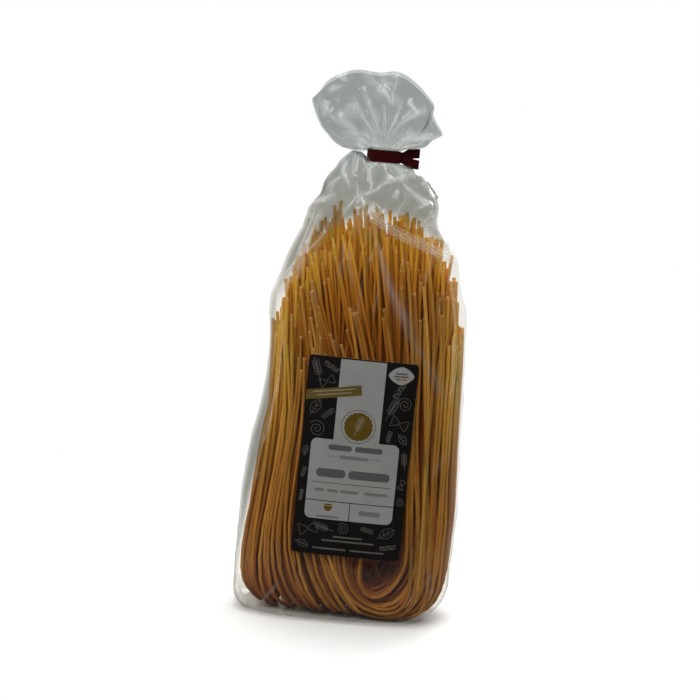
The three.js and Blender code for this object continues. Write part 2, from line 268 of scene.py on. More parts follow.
def dried_egg_pasta():
    """Egg pasta, pressed through a die and dried: amber, a little see-through, with a dull gloss.

    The noodles inside the bundle are painted with a glow, standing in for light that has passed
    through several noodles: deep orange, golden at the top, redder and darker further down as painted
    shade. The outer ones are painted warmer and a little darker towards the foot, as shade. Each noodle
    is toned at random and mottled along its length, those deep in the rod's gap painted darker as shade.
    The bundle's thin edges and tips are painted brighter, as backlight, and the cut ends are floury and
    painted paler still, as glints.
    """
    material, tree = new_material("dried_egg_pasta_extruded")
    place = millimetres(tree)
    tone_and_shade, cut, inside, thin = (add(tree, "Attribute", attribute_name=name).outputs["Fac"]
                               for name in ("tone_and_shade", "cut", "inside", "thin"))
    drawn = add(tree, "Mapping", {"Vector": place, "Scale": (1 / 2.2, 1 / 2.2, 1 / 18)})
    mottle = add(tree, "TexNoise", {"Vector": drawn, "Scale": 1.0, "Detail": 3.0})
    mixed = add(tree, "Math", {0: mottle, 1: 0.7, 2: -0.35}, operation="MULTIPLY_ADD")
    toned = add(tree, "Math", {0: tone_and_shade, 1: mixed}, operation="ADD", use_clamp=True)
    ramp = add(tree, "ValToRGB", {"Fac": toned})
    ramp.color_ramp.elements[0].color = linear("#A06415")
    ramp.color_ramp.elements[1].color = linear("#EEB454")
    height = add(tree, "SeparateXYZ", {0: place}).outputs["Z"]
    # Painted shade: the outer noodles are made warmer and a little darker towards the foot.
    low = add(tree, "MapRange", {"Value": height, "From Min": 170.0, "From Max": 30.0})
    shaded_towards_foot = add(tree, "Mix", {"Factor": low, COLOUR_A: ramp, COLOUR_B: linear("#FFF6EA")},
                  data_type="RGBA", blend_type="MULTIPLY")
    # Painted glow: the noodles inside the bundle take a bright orange that stands in for light passed through
    # the noodles round them, golden at the top, redder and darker towards the foot as painted shade.
    depth = add(tree, "MapRange", {"Value": height, "From Min": 30.0, "From Max": 205.0})
    glow = add(tree, "ValToRGB", {"Fac": depth})
    glow.color_ramp.elements[0].color = linear("#A65E22")
    glow.color_ramp.elements[1].color = linear("#EDB02A")
    for share, code in ((0.42, "#A0560E"), (0.68, "#BE7610"), (0.85, "#DC9820")):
        glow.color_ramp.elements.new(share).color = linear(code)
    lit = add(tree, "Mix", {"Factor": inside, COLOUR_A: shaded_towards_foot, COLOUR_B: glow}, data_type="RGBA")
    # Painted backlight: the bundle's thin edges and tips are mixed towards bright yellow.
    painted_backlight = add(tree, "Mix", {"Factor": thin, COLOUR_A: lit, COLOUR_B: linear("#FFCA48")},
                 data_type="RGBA")
    # The cut ends are floury and paler, and are painted brighter still as glints.
    pale = add(tree, "Mix", {"Factor": cut, COLOUR_A: painted_backlight, COLOUR_B: linear("#FFE6AC")},
               data_type="RGBA")
    grain = add(tree, "Mapping", {"Vector": place, "Scale": (1 / 0.35, 1 / 0.35, 1 / 2.5)})
    flour = add(tree, "TexNoise", {"Vector": grain, "Scale": 1.0, "Detail": 2.0})
    bump = add(tree, "Bump", {"Height": flour, "Strength": 0.25, "Distance": 0.08 * MM})
    dull = add(tree, "MapRange", {"Value": flour, "To Min": 0.40, "To Max": 0.62})
    skin = add(tree, "BsdfPrincipled", {
        "Base Color": pale, "Roughness": dull, "IOR": 1.5, "Specular IOR Level": 0.3,
        "Subsurface Weight": 0.5, "Subsurface Radius": (1.0, 0.5, 0.15), "Subsurface Scale": 1.2 * MM,
        "Normal": bump})
    add(tree, "OutputMaterial", {"Surface": skin})
    return material


def cast_polypropylene_film():
    """Polypropylene film, cast thin and clear: hard thin reflections, and grey where it stands free.

    Where it lies on the noodles it can hardly be seen. Free film has a grey haze, and each sharp
    crease is white along its line, partly whitened by the fold and partly a painted highlight for the
    lights' reflections. Fine whitened lines run where it is drawn tight.
    """
    material, tree = new_material("polypropylene_film_cast")
    place = millimetres(tree)
    haze, crease, tight = (add(tree, "Attribute", attribute_name=name).outputs["Fac"]
                           for name in ("haze", "whitened_and_highlit", "tight"))
    (x0, z0), (x1, z1) = TIGHT_BAND["start"], TIGHT_BAND["end"]
    length = math.hypot(x1 - x0, z1 - z0)
    across = (-(z1 - z0) / length, 0, (x1 - x0) / length)
    sway = add(tree, "TexNoise", {"Vector": place, "Scale": 1 / 14, "Detail": 1.0})
    offset = add(tree, "VectorMath", {0: place, 1: across}, operation="DOT_PRODUCT")
    swayed = add(tree, "Math", {0: sway, 1: 3.0, 2: offset}, operation="MULTIPLY_ADD")
    phase = add(tree, "Math", {0: swayed, 1: TIGHT_BAND["pitch"]}, operation="PINGPONG")
    line = add(tree, "MapRange", {"Value": phase, "From Min": 0.45, "From Max": 0.0})
    drawn = add(tree, "Math", {0: line, 1: tight}, operation="MULTIPLY")
    streaks = add(tree, "Math", {0: drawn, 1: 0.85, 2: crease}, operation="MULTIPLY_ADD")
    # White of the creases and the tight lines: whitened film, and on the creases also painted highlight.
    whitened_and_highlit = add(tree, "Math", {0: tight, 1: 0.26, 2: streaks}, operation="MULTIPLY_ADD", use_clamp=True)
    cleared = add(tree, "Math", {0: whitened_and_highlit, 1: -1.3, 2: 1.0}, operation="MULTIPLY_ADD", use_clamp=True)
    grey = add(tree, "Math", {0: haze, 1: cleared}, operation="MULTIPLY")
    # Painted reflection: up to the shoulder the haze is warmer and a little darker, for the noodles mirrored
    # in the film; the head's haze is cooler.
    height = add(tree, "SeparateXYZ", {0: place}).outputs["Z"]
    above = add(tree, "MapRange", {"Value": height, "From Min": 205.0, "From Max": 234.0})
    haze_and_reflection = add(tree, "Mix", {"Factor": above, COLOUR_A: linear("#BDBEB8"), COLOUR_B: linear("#C2C6C4")},
               data_type="RGBA")
    tint = add(tree, "Mix", {"Factor": grey, COLOUR_A: linear("#FAF9F6"), COLOUR_B: haze_and_reflection},
               data_type="RGBA")
    clear = add(tree, "BsdfTransparent", {"Color": tint})
    dusty = add(tree, "BsdfDiffuse", {"Color": linear("#F0F2F0")})
    through = add(tree, "BsdfTranslucent", {"Color": linear("#F0F2F0")})
    cloud = add(tree, "MixShader", {"Fac": 0.35, 1: dusty, 2: through})
    veil = add(tree, "MapRange", {"Value": haze, "To Min": 0.0, "To Max": 0.08})
    share = add(tree, "Math", {0: whitened_and_highlit, 1: 0.6, 2: veil}, operation="MULTIPLY_ADD", use_clamp=True)
    sheet = add(tree, "MixShader", {"Fac": share, 1: clear, 2: cloud})
    pulled = add(tree, "Mapping", {"Vector": place, "Scale": (1 / 2.6, 1 / 2.6, 1 / 11)})
    ripple = add(tree, "TexNoise", {"Vector": pulled, "Scale": 1.0, "Detail": 3.0})
    bump = add(tree, "Bump", {"Height": ripple, "Strength": 0.4, "Distance": 0.5 * MM})
    gloss = add(tree, "BsdfGlossy", {"Color": linear("#FFFFFF"), "Roughness": 0.16, "Normal": bump})
    behind = add(tree, "NewGeometry").outputs["Backfacing"]
    density = add(tree, "MapRange", {"Value": behind, "To Min": 1.49, "To Max": 1 / 1.49})
    edge = add(tree, "Fresnel", {"IOR": density, "Normal": bump})
    film = add(tree, "MixShader", {"Fac": edge, 1: sheet, 2: gloss})
    add(tree, "OutputMaterial", {"Surface": film})
    return material


def printed_paper(name, code):
    """Coated label paper, offset printed: flat, even ink, kept from shining by the paper's tooth."""
    material, tree = new_material(name)
    place = millimetres(tree)
    tooth = add(tree, "TexNoise", {"Vector": place, "Scale": 1 / 0.4, "Detail": 3.0})
    patchy = add(tree, "TexNoise", {"Vector": place, "Scale": 1 / 9, "Detail": 1.0})
    shade = add(tree, "MapRange", {"Value": patchy, "To Min": 0.9, "To Max": 1.1})
    colour = add(tree, "VectorMath", {0: linear(code)[:3], "Scale": shade}, operation="SCALE")
    bump = add(tree, "Bump", {"Height": tooth, "Strength": 0.15, "Distance": 0.05 * MM})
    skin = add(tree, "BsdfPrincipled", {
        "Base Color": colour, "Roughness": 0.55, "IOR": 1.5, "Specular IOR Level": 0.12,
        "Normal": bump})
    add(tree, "OutputMaterial", {"Surface": skin})
    return material


def drawn_clip_strip():
    """Burgundy polypropylene strip, extruded and pressed: smooth, with fine drawn lines and a soft shine."""
    material, tree = new_material("polypropylene_strip_extruded")
    place = millimetres(tree)
    lines = add(tree, "Mapping", {"Vector": place, "Scale": (1 / 12, 1 / 12, 1 / 0.5)})
    drawn = add(tree, "TexNoise", {"Vector": lines, "Scale": 1.0, "Detail": 2.0})
    bump = add(tree, "Bump", {"Height": drawn, "Strength": 0.3, "Distance": 0.1 * MM})
    ramp = add(tree, "ValToRGB", {"Fac": drawn})
    ramp.color_ramp.elements[0].color = linear("#30070A")
    ramp.color_ramp.elements[1].color = linear("#450C10")
    skin = add(tree, "BsdfPrincipled", {
        "Base Color": ramp, "Roughness": 0.45, "IOR": 1.49, "Specular IOR Level": 0.08,
        "Normal": bump})
    add(tree, "OutputMaterial", {"Surface": skin})
    return material


# ---- The noodles ----

NOODLE_SEED = 11
NEST_COUNT = 9
INNER_NESTS = 5
FALLEN = 36
LEG_POINTS = 11
CUT_LENGTH = 1.0
LOWEST_TIPS = (124, 152)
CROWN_X, CROWN_Z = 4, 206
BEND_POINTS = 12
BEND_TURNS = np.linspace(0, math.pi, BEND_POINTS + 2)[1:-1]
BEND_BOTTOM = 1.1
BUNDLE_MIDDLE, BUNDLE_HALF_WIDTH = 3, 46
BUNDLE_SQUARENESS = 2.8
FILM_CLEARANCE = 0.3
ROD_SIDE = {"left": 7, "right": 32, "bottom": 13}
SIDE_REACH = (-53.4, -11.5)


def nest_depth(z):
    """Half depth of the bundle at a height, a millimetre short of its outermost reach."""
    return profile_at(NEST_ROWS, z)[2] - 1


def rim(x):
    """How deep the bundle is at a place across it, as a share of its middle depth."""
    return (1 - min(abs(x), 0.999) ** BUNDLE_SQUARENESS) ** (1 / BUNDLE_SQUARENESS)


def top_height(x):
    """Height that the longest noodles reach at a place across the bag."""
    return CROWN_Z - np.where(x > CROWN_X, 0.0105, 0.0115) * np.abs(x - CROWN_X) ** 2.1


def clump(x, deep):
    """How far neighbouring noodles lean together, in millimetres at the top."""
    return 2.2 * math.sin(x / 3.3 + 9 * deep) + 1.6 * math.sin(x / 6.1 - 7 * deep + 2)


def leg(low_x, middle_x, deep, low_z, rng):
    """A leg from its cut end down to where its bend starts. deep is -1 at the front.

    Legs lean left as they rise, most in the middle and in front, and some of the outer ones stray.
    Cut ends lie lower in front and at the edges.
    """
    across = (middle_x - BUNDLE_MIDDLE) / BUNDLE_HALF_WIDTH
    outside = float(smoothstep(abs(deep), 0.72, 0.92))
    edge = float(smoothstep(abs(across), 0.78, 0.98))
    lean = 15 * math.exp(-(((across + 0.15) / 0.6) ** 2)) - 5 * max(across, 0) + clump(middle_x, deep)
    lean += edge * (rng.normal(0, 4) - 5 * (across > 0))
    lean += 14 * float(smoothstep(-deep, 0.6, 0.9)) * math.exp(-((across / 0.65) ** 2))
    if rng.random() < 0.1 + 0.5 * outside:
        lean += rng.normal(4, 10) * lerp(1, -0.6, np.clip(across, 0, 1))
        middle_x += rng.normal(0, 2)
        deep *= lerp(1, 1.06, outside)
    else:
        lean += rng.normal(0, 2.6)
        middle_x += rng.normal(0, lerp(0.6, 1.5, outside))
    high_x = middle_x - lean
    short = 3 + 21 * rng.random() ** 0.8 if rng.random() < 0.84 else 8 * rng.random() - 3
    if deep < 0:
        short += outside * rng.random() ** 0.75 * lerp(54, 32, np.clip((middle_x + 45) / 75, 0, 1))
    short += edge * rng.random() * 22
    if deep > 0 > high_x:
        short -= 14 * rng.random() * math.exp(-(((high_x + 27) / 11) ** 2))
    top = max(top_height(high_x) - short, rng.uniform(*LOWEST_TIPS))
    z = np.concatenate([[top], lerp(top - CUT_LENGTH, low_z, np.linspace(0, 1, LEG_POINTS - 1) ** 0.9)])
    x = np.interp(z, [low_z, MIDDLE, HIGH], [low_x, middle_x, high_x])
    wave, length = rng.uniform(0, 2 * math.pi), rng.uniform(12, 22)
    rise = smoothstep(z, low_z, 80)
    shared = 1.5 * np.sin(z / 27 + 4 * math.sin(middle_x / 5.2 + 3 * deep))
    x = x + rise * (shared + 0.8 * np.sin(z / length + wave))
    y = deep * nest_depth(z) + 0.4 * rise * np.sin(z / length - wave)
    return np.stack([x, y, z], -1)


def eased(path):
    """The path with its corners rounded, and its cut ends kept."""
    for _ in range(2):
        path[2:-2] = (path[1:-3] + 2 * path[2:-2] + path[3:-1]) / 4
    return path


def rod_noodle(nest, deep, rng):
    """A whole U round the gap of the drying rod: nest 0 lies on the gap, nest 1 outermost."""
    nest += rng.normal(0, 0.03)
    loose = max(0.0, 1 - 1.6 * abs(nest)) * rng.random()
    left = lerp(ROD_SIDE["left"], -9.5, nest) + rng.normal(0, 0.9)
    right = ROD_SIDE["right"] + 21.1 * nest * rim(deep) + rng.normal(0, 0.4) + 2.5 * loose
    bottom = lerp(ROD_SIDE["bottom"], BEND_BOTTOM, nest) + rng.uniform(0, 0.4) - 1.2 * loose
    bottom = max(bottom, BEND_BOTTOM)
    middle = lerp(17, 26, nest) + rng.normal(0, 1.6)
    west = BEND_TURNS < math.pi / 2
    start = np.where(west, lerp(29, 46, nest), lerp(38, 40, nest) + 8 * loose)
    power = 2 / np.where(west, lerp(2.1, 2.3, nest), lerp(1.8, 2.9, nest))
    x = middle - signed_power(np.cos(BEND_TURNS), power) * np.where(west, middle - left, right - middle)
    z = start - (start - bottom) * np.abs(np.sin(BEND_TURNS)) ** power
    bend = np.stack([x, deep * nest_depth(z), z], -1)
    one = leg(left, lerp(18, -6, nest), deep, start[0], rng)
    other = leg(right, 24 + (right - ROD_SIDE["right"]) * 1.2 + rng.normal(0, 1.5), deep, start[-1], rng)
    return np.concatenate([one, bend, other[::-1]])


def side_noodle(low_x, deep, layer, rng):
    """A U whose legs come down the front and the back, and sweep to the right as they turn under.

    layer is how far it lies inside the outermost noodles.
    """
    share = np.clip((low_x - SIDE_REACH[0]) / (SIDE_REACH[1] - SIDE_REACH[0]), 0, 1)
    sweep_z = lerp(22, 46, share) * rng.uniform(0.85, 1.2)
    sweep = lerp(14.5, 24, share) * rng.uniform(0.9, 1.25)
    bottom = 1.3 + 0.85 * layer
    start = bottom + lerp(12, 7, share)
    middle_x = np.interp(low_x, SIDE_REACH, [-43.6, -8.5]) + rng.normal(0, 1.6) * share
    if rng.random() < 0.4:
        low_x += rng.normal(0, lerp(0.5, 4.5, share))
    front = leg(low_x, middle_x, -deep, start, rng)
    back = leg(low_x, middle_x, deep, start, rng)
    power = 2 / 2.5
    z = start - (start - bottom) * np.abs(np.sin(BEND_TURNS)) ** power
    y = -signed_power(np.cos(BEND_TURNS), power) * deep * nest_depth(start)
    bend = np.stack([np.full_like(z, low_x), y, z], -1)
    path = np.concatenate([front, bend, back[::-1]])
    fall = np.clip((sweep_z - path[:, 2]) / sweep_z, 0, 1)
    path[:, 0] += sweep * fall ** lerp(2.2, 1.9, share)
    return path


def fallen_noodle(rng):
    """A noodle that has slipped into the rod's gap and crosses it inside."""
    middle, half = rng.uniform(13, 27), rng.uniform(2, 9)
    start = rng.uniform(30, 55)
    deep, slant = rng.uniform(-0.55, 0.55), rng.uniform(-6, 12)
    z = start - 13 * np.sin(BEND_TURNS) - slant * np.cos(BEND_TURNS)
    bend = np.stack([middle - half * np.cos(BEND_TURNS), deep * nest_depth(z), z], -1)
    one = leg(middle - half, middle - half, deep, start - slant, rng)
    other = leg(middle + half, middle + half, deep, start + slant, rng)
    return np.concatenate([one, bend, other[::-1]])


def noodle_paths(rng):
    """The middle lines of all noodles in the bag, and the painted shade of each: darker deep in the rod's
    gap.
    """
    paths, shade = [], []
    for k in range(-INNER_NESTS, NEST_COUNT):
        nest = k / (NEST_COUNT - 1)
        depth = (nest_depth(lerp(ROD_SIDE["bottom"], BEND_BOTTOM, nest)) + nest_depth(LOW)) / 2
        count = round(2 * depth / NOODLE_PITCH)
        for j in range(count):
            place = (j + 0.5 * (k % 2) * (j < count - 1)) / (count - 1)
            deep = lerp(-0.98, 0.98, place) + rng.normal(0, 0.01)
            too_far_out = k < 0 and abs(deep) > 0.58 + 0.11 * k
            if too_far_out or 0 <= k < 3 and abs(deep) > 0.8 and rng.random() < 0.45:
                continue
            paths.append(rod_noodle(nest, float(deep), rng))
            # Painted shade for the inner nests, deep in the rod's gap.
            shade.append(0.35 * (k < 0))
    columns = round((SIDE_REACH[1] - SIDE_REACH[0]) / NOODLE_PITCH)
    for i in range(columns + 1):
        low_x = lerp(*SIDE_REACH, i / columns)
        outer = rim((low_x - 0.75) / 54.6)
        for j in range(max(int(outer * nest_depth(LOW) / NOODLE_PITCH), 1)):
            layer = (j + 0.5 * (i % 2) * (j > 0)) * NOODLE_PITCH
            deep = outer - layer / nest_depth(LOW)
            if deep > 0.04:
                paths.append(side_noodle(low_x + rng.normal(0, 0.6), float(deep), layer, rng))
                shade.append(0)
    paths += [fallen_noodle(rng) for _ in range(FALLEN)]
    # Painted shade for the noodles fallen into the gap.
    shade += [0.4] * FALLEN
    return [inside_film(eased(path), NOODLE_RADIUS + FILM_CLEARANCE) for path in paths], shade


def build_noodles():
    """All noodles as one mesh of round strands, each with two flat cut ends."""
    rng = np.random.default_rng(NOODLE_SEED)
    paths, shade = (np.array(each) for each in noodle_paths(rng))
    count, steps = paths.shape[:2]
    radii = NOODLE_RADIUS * rng.uniform(0.95, 1.03, count)
    along = unit(np.gradient(paths, axis=1))
    across = np.empty_like(paths)
    across[:, 0] = unit(np.cross(along[:, 0], (0, 1, 0)))
    for i in range(1, steps):
        carried = across[:, i - 1]
        across[:, i] = unit(carried - np.sum(carried * along[:, i], -1, keepdims=True) * along[:, i])
    other = np.cross(along, across)
    turn = 2 * np.pi * np.arange(NOODLE_SIDES) / NOODLE_SIDES
    ring = np.cos(turn)[:, None] * across[:, :, None] + np.sin(turn)[:, None] * other[:, :, None]
    walls = paths[:, :, None] + radii[:, None, None, None] * ring
    grid = np.arange(walls[..., 0].size).reshape(walls.shape[:3])
    quads = tube_faces(grid)
    caps = np.concatenate([walls[:, 0], walls[:, -1]]).reshape(-1, 3)
    cap_faces = grid.size + np.arange(len(caps)).reshape(-1, NOODLE_SIDES)
    cap_faces[:count] = cap_faces[:count, ::-1]
    vertices = np.concatenate([walls.reshape(-1, 3), caps])
    piece = mesh_piece("noodles", vertices, quads.tolist() + cap_faces.tolist(), [dried_egg_pasta()],
                       "bag")
    smooth = np.arange(len(piece.data.polygons)) < len(quads)
    piece.data.polygons.foreach_set("use_smooth", smooth)

    def set_along(name, values, at_cuts=0.0):
        """Sets a value for each step of each noodle, and one for each point of the cut ends."""
        cuts = np.broadcast_to(at_cuts, len(caps))
        set_attribute(piece, name, np.concatenate([np.repeat(values, NOODLE_SIDES), cuts]))

    # Random for each noodle, less the painted shade of those deep in the gap.
    tone_and_shade = np.clip(rng.normal(0.45, 0.24, count), 0, 0.85) - shade
    set_along("tone_and_shade", np.repeat(tone_and_shade, steps), np.tile(np.repeat(tone_and_shade, NOODLE_SIDES), 2))
    x, y, z = np.moveaxis(paths, -1, 0)
    left, right, depth = profile_at(NEST_ROWS, z)
    off_middle = np.abs(x - (left + right) / 2) / ((right - left) / 2)
    square = BUNDLE_SQUARENESS
    reach = (off_middle ** square + np.abs(y / depth) ** square) ** (1 / square)
    # Painted glow: marks the noodles inside the bundle, which take the glowing colour.
    set_along("inside", 1 - smoothstep(reach, 0.87, 0.95))
    # Painted backlight: how far the edges and the tips are painted brighter.
    thin = 0.9 * np.maximum(smoothstep(off_middle, 0.7, 0.98), smoothstep(z - top_height(x), -26, -4))
    set_along("thin", thin * smoothstep(z, 60, 130))
    # Cut ends and their last rings: floury, and painted paler as glints.
    ends = np.zeros((count, steps))
    ends[:, [0, -1]] = 0.4
    set_along("cut", ends, 1.0)


# ---- The film ----

BODY_SEED, FAN_SEED = 5, 8
FILM_COLUMNS = 380
FOOT_CLOSING_ROWS, NECK_ROWS, FAN_ROWS = 7, 8, 71
# Heights of the filled bag's rows: close at the foot, wide up the side, and close where it creases.
BODY_HEIGHTS = np.concatenate([
    FILM_FOOT + np.array([0, 0.25, 0.6, 1.1, 1.8, 2.7, 3.8]), np.arange(5, 150, 2.2),
    np.arange(150, 224, 0.9), np.arange(224, 229.3, 0.4)])
# The height at which the columns are evenly spaced, and the steps that its length is measured in.
REFERENCE_HEIGHT = 84
LENGTH_STEPS = 20000
NECK_PLEATS, FINE_PLEATS, BROAD_PLEATS = 24, 13, 6
UNDER_LABEL = 0.2


def film_columns():
    """Angles of the film's columns, evenly spaced round the bag, and how far round from the front."""
    fine = np.linspace(-math.pi, math.pi, LENGTH_STEPS + 1)
    ring = film_point(fine + math.pi / 2, np.full_like(fine, REFERENCE_HEIGHT), 0)
    run = np.concatenate([[0], np.cumsum(np.linalg.norm(np.diff(ring, axis=0), axis=1))])
    run -= np.interp(0, fine, run)
    even = np.linspace(run[0], run[-1], FILM_COLUMNS, endpoint=False)
    return math.pi / 2 - np.interp(even, run, fine), even


def head_point(angle, t):
    """A place on the fan above the clip, from the neck (t 0) to the mouth (t 1)."""
    round_ = np.cos(angle)
    mouth_x, mouth_z = profile_at(MOUTH, round_)
    root_x = lerp(NECK_LEFT, NECK_RIGHT, (1 + round_) / 2)
    bow_x = root_x + 0.75 * (mouth_x - root_x)
    droop = np.where(round_ < 0, HEAD_DROOP["left"], HEAD_DROOP["right"]) * round_ ** 2
    bow_z = HEAD_BOTTOM + (0.5 - droop) * (mouth_z - HEAD_BOTTOM)
    root, bow, end = (1 - t) ** 2, 2 * t * (1 - t), t * t
    spread = lerp(NECK_HALF_DEPTH, MOUTH_HALF_DEPTH, np.sin(t * math.pi / 2))
    x = root * root_x + bow * bow_x + end * mouth_x
    z = root * HEAD_BOTTOM + bow * bow_z + end * mouth_z
    return np.stack(np.broadcast_arrays(x, -np.sin(angle) * spread, z), -1)


def fold_field(across, height, folds):
    """Rise of the film along straight folds (from, to, width, rise, white), and its white: partly
    whitened film, partly painted highlight.

    A fold widens towards its first end, as pleats do away from where they are gathered.
    """
    rise, whitened_and_highlit = np.zeros_like(across), np.zeros_like(across)
    for (x0, z0), (x1, z1), width, high, white in folds:
        length = math.hypot(x1 - x0, z1 - z0)
        ux, uz = (x1 - x0) / length, (z1 - z0) / length
        along = ((across - x0) * ux + (height - z0) * uz) / length
        off = np.abs((height - z0) * ux - (across - x0) * uz) / (width * lerp(1.5, 0.6, np.clip(along, 0, 1)))
        taper = np.clip(along / 0.25, 0, 1) * np.clip((1 - along) / 0.25, 0, 1)
        rise += high * taper * np.exp(-(off ** 1.4))
        whitened_and_highlit = np.maximum(whitened_and_highlit, white * taper * np.exp(-((1.6 * off) ** 2)))
    return rise, whitened_and_highlit


def crumple(points, rng, waves, lengths, slope):
    """Flat facets between sharp creases: rise of the film, and white along the creases.

    Each wave is a zigzag across a direction of its own, slightly bent.
    """
    x, y, z = points[..., 0], points[..., 1], points[..., 2]
    rise, creased = np.zeros_like(x), np.zeros_like(x)
    for _ in range(waves):
        turn, length, phase = rng.uniform(0, math.pi), rng.uniform(*lengths), rng.random()
        bent = 0.18 * np.sin(x / rng.uniform(9, 17) + 6 * phase)
        bent = bent + 0.18 * np.sin(z / rng.uniform(9, 17) + 9 * phase)
        along = (x * math.cos(turn) + z * math.sin(turn) + y * rng.uniform(-0.7, 0.7)) / length + phase + bent
        zigzag = np.abs(along % 1 - 0.5)
        rise += slope * length * zigzag
        creased = np.maximum(creased, np.exp(-((np.minimum(zigzag, 0.5 - zigzag) * length / 0.7) ** 2)))
    return rise, creased * smoothstep(np.sin(x / 5 + 2) + np.sin(z / 6), 0.2, 1.4)


def scattered_folds(rng, reach, count, heights, direction, lengths, rises, white):
    """Seeded folds that lie mostly along one direction, given as its middle and its spread."""
    folds = []
    for _ in range(count):
        x, z = rng.uniform(-reach, reach), rng.uniform(*heights)
        turn, length = rng.normal(*direction), rng.uniform(*lengths)
        end = (x + length * math.cos(turn), z + length * math.sin(turn))
        folds.append(((x, z), end, rng.uniform(0.7, 2.4), rng.uniform(*rises), white * rng.random() ** 2))
    return folds


# Folds of the body's film in front: from and to, across the bag and height, then width, rise and white.
# The white of each fold is partly whitened film and partly painted highlight.
BODY_FOLDS = [
    ((4, 220), (-9, 212), 2.0, 1.4, 0.5),
    ((15, 227), (1, 218), 1.6, 1.3, 0.65),
    ((-33, 206), (-18, 213), 2.4, 1.0, 0.6),
    ((-29, 211), (-23, 221), 1.8, 0.9, 0.4),
    ((21, 218), (13, 228.5), 1.4, 1.2, 0.6),
    ((30, 212), (18, 222), 1.4, 1.1, 0.5),
    ((25, 210), (9, 222), 2.2, 1.2, 0.6),
    ((-1, 202), (-8, 214), 1.7, 1.2, 0.5),
    ((3, 194), (-4, 208), 1.6, 1.0, 0.35),
    ((-17, 198), (-7, 215), 2.0, 1.2, 0.35),
    ((-11, 216), (-15, 227), 1.4, 1.2, 0.6),
    ((-22, 213), (-13, 225), 2.4, 1.0, 0.3),
    ((9, 203), (14, 214), 1.6, 0.8, 0.3),
    ((-36, 168), (-25.5, 202), 2.6, 0.7, 0.75),
    ((-42, 154), (-31, 190), 2.0, 0.8, 0.6),
    ((-36, 178), (-24.5, 208), 0.9, 0.8, 0.7),
    ((-46, 164), (-18, 199), 1.0, 0.7, 0.75),
    ((-45, 146), (-43, 168), 2.4, 0.6, 0.6),
    ((26, 143), (-1, 202), 3.4, 0.7, 0.38),
    ((46, 112), (14, 158), 3.2, 0.6, 0.22),
    ((38, 172), (33, 200), 1.5, 0.7, 0.4),
    ((44, 150), (40, 178), 2.0, 0.7, 0.35),
    ((46, 30), (40, 22), 0.9, 0.5, 0.5),
    ((-31, 19), (-41, 3), 0.7, 0.5, 0.5),
    ((-52, 14), (-42, 2), 2.0, 0.8, 0.9),
]
# Small folds scattered over the bag, then over the fan: how many, between which heights, the middle
# and spread of their direction, then lengths, rises and white.
# The white of each fold is partly whitened film and partly painted highlight.
SCATTERED_FOLDS = [
    (70, (200, 228), (1.6, 0.9), (5, 20), (0.3, 1.1), 0.5),
    (40, (150, 205), (1.6, 0.35), (10, 34), (0.2, 0.7), 0.3),
    (90, (6, 165), (1.6, 0.4), (8, 42), (0.15, 0.5), 0.2),
]
SCATTERED_FAN_FOLDS = (60, (3, 30), (-1.57, 0.2), (8, 26), (0.3, 1.2), 0.4)
# A strip of fine parallel lines drawn tight from the neck's foot to the right side.
TIGHT_BAND = {"start": (-3, 208.5), "end": (40, 185.5), "half_width": 3.4, "pitch": 0.75}
# Folds of the fan: distance round the film and share of the way from mouth to neck.
# The white of each fold is partly whitened film and partly painted highlight.
FAN_FOLDS = [
    ((-53, 0.98), (-42, 0.5), 1.5, 1.1, 0.3),
    ((-44, 0.72), (-37, 0.28), 2.6, 1.8, 0.5),
    ((-46, 0.50), (-30, 0.18), 2.4, 1.4, 0.4),
    ((-36, 0.78), (-24, 0.1), 2.0, 1.6, 0.4),
    ((-29, 0.85), (-15, 0.06), 2.2, 1.5, 0.35),
    ((-19, 0.86), (4, 0.55), 2.6, 1.6, 0.4),
    ((-12, 0.62), (-2, 0.03), 2.2, 1.5, 0.5),
    ((9, 0.97), (3, 0.5), 1.8, 1.1, 0.3),
    ((20, 0.62), (5, 0.04), 2.6, 1.7, 0.6),
    ((38, 0.84), (22, 0.26), 2.0, 1.8, 0.55),
    ((33, 0.76), (14, 0.08), 2.0, 1.5, 0.4),
    ((56, 0.86), (38, 0.12), 2.6, 1.7, 0.7),
    ((50, 0.6), (30, 0.08), 2.2, 1.4, 0.5),
    ((-46, 0.93), (-37, 0.88), 1.1, 0.8, 0.45),
    ((-52, 0.80), (-44, 0.72), 1.0, 0.8, 0.4),
]


def around_at(x, z, angles, around):
    """Distance round the film's columns at which it passes a place across the bag, in front."""
    return float(np.interp(-angle_at(x, z), -angles, around))


def tight_lines(angles, around, body_around, height):
    """Where the film is drawn into tight lines, from 0 to 1."""
    start, end = (np.array([around_at(x, z, angles, around), z])
                  for x, z in (TIGHT_BAND["start"], TIGHT_BAND["end"]))
    line, length = unit(end - start), np.linalg.norm(end - start)
    off = np.abs((height - start[1]) * line[0] - (body_around - start[0]) * line[1])
    along = (body_around - start[0]) * line[0] + (height - start[1]) * line[1]
    tight = smoothstep(TIGHT_BAND["half_width"] - off, 0, 0.8) * smoothstep(along, 0, 4)
    return tight * (1 - smoothstep(along, length - 4, length + 2))


